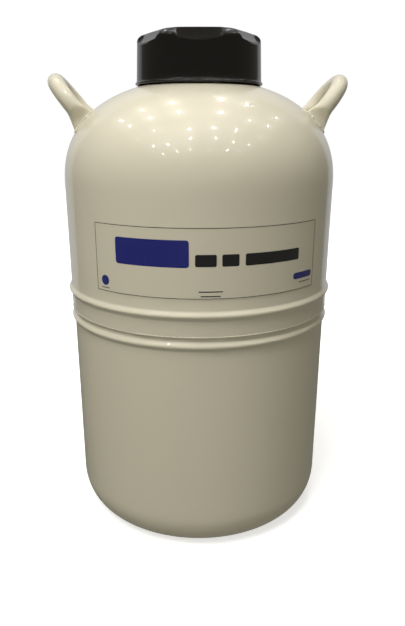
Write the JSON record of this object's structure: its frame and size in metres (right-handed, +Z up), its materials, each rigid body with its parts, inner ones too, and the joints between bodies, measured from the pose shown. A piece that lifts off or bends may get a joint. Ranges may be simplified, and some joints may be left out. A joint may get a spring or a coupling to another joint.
{
  "type": "liquid nitrogen dewar",
  "caption": "Tall round vacuum flask for storing samples in liquid nitrogen, with a domed shoulder, loop handles, a lift-off cap with a foam neck plug, and hanging canisters.",
  "frame": {"origin": "on the axis of the vessel, at the level that it stands on", "axes": "+Z up along the axis; the handles lie on +X and -X; the decal faces -Y; the vacuum port is at +Y"},
  "size_m": [0.3908, 0.368, 0.652],
  "materials": {
    "cream_paint": "gloss enamel with a faint orange peel",
    "bare_aluminium": "mill",
    "canister_steel": "satin",
    "glass_fibre_tube": "resin-bonded glass cloth",
    "black_matte_plastic": "moulded",
    "black_gloss_plastic": "polished moulding",
    "insert_plastic": "fine grain",
    "seal_rubber": "smooth",
    "foil_blanket": "crinkled foil",
    "plug_foam": "rigid foam",
    "decal_film": "clear film with printed shapes"
  },
  "bodies": {
    "vessel": {"outer_shell_upper": "cream_paint", "outer_shell_lower": "cream_paint", "girth_weld": "cream_paint", "neck_collar": "bare_aluminium", "neck_tube": "glass_fibre_tube", "index_ring": "black_matte_plastic", "inner_vessel_upper": "bare_aluminium", "inner_vessel_lower": "bare_aluminium", "inner_vessel_floor": "bare_aluminium", "inner_weld": "bare_aluminium", "inner_neck_ring": "bare_aluminium", "insulation_blanket": "foil_blanket", "adsorbent_cup": "bare_aluminium", "vacuum_port": "cream_paint", "vacuum_plug": "canister_steel", "vacuum_plug_seal": "seal_rubber", "vacuum_port_cap": "black_matte_plastic", "spider_plate": "bare_aluminium", "spider_fins": "bare_aluminium", "handle_left": "cream_paint", "handle_right": "cream_paint", "name_decal": "decal_film"},
    "cap": {"cap_shell": "black_gloss_plastic", "cap_insert": "insert_plastic", "plug_bolt": "canister_steel", "plug_disc": "black_matte_plastic", "neck_plug": "plug_foam"},
    "canister_1_body": {"canister_1": "canister_steel", "canister_rod_1": "canister_steel"},
    "canister_2_body": {"canister_2": "canister_steel", "canister_rod_2": "canister_steel"},
    "canister_3_body": {"canister_3": "canister_steel", "canister_rod_3": "canister_steel"},
    "canister_4_body": {"canister_4": "canister_steel", "canister_rod_4": "canister_steel"},
    "canister_5_body": {"canister_5": "canister_steel", "canister_rod_5": "canister_steel"},
    "canister_6_body": {"canister_6": "canister_steel", "canister_rod_6": "canister_steel"}
  },
  "joints": [
    {"name": "cap_lift", "type": "slide", "parent": "vessel", "child": "cap", "axis": [0, 0, 1], "range_m": [0, 0.2]},
    {"name": "canister_1_lift", "type": "slide", "parent": "vessel", "child": "canister_1_body", "axis": [0, 0, 1], "range_m": [0, 0.03]},
    {"name": "canister_2_lift", "type": "slide", "parent": "vessel", "child": "canister_2_body", "axis": [0, 0, 1], "range_m": [0, 0.03]},
    {"name": "canister_3_lift", "type": "slide", "parent": "vessel", "child": "canister_3_body", "axis": [0, 0, 1], "range_m": [0, 0.03]},
    {"name": "canister_4_lift", "type": "slide", "parent": "vessel", "child": "canister_4_body", "axis": [0, 0, 1], "range_m": [0, 0.03]},
    {"name": "canister_5_lift", "type": "slide", "parent": "vessel", "child": "canister_5_body", "axis": [0, 0, 1], "range_m": [0, 0.03]},
    {"name": "canister_6_lift", "type": "slide", "parent": "vessel", "child": "canister_6_body", "axis": [0, 0, 1], "range_m": [0, 0.03]}
  ]
}
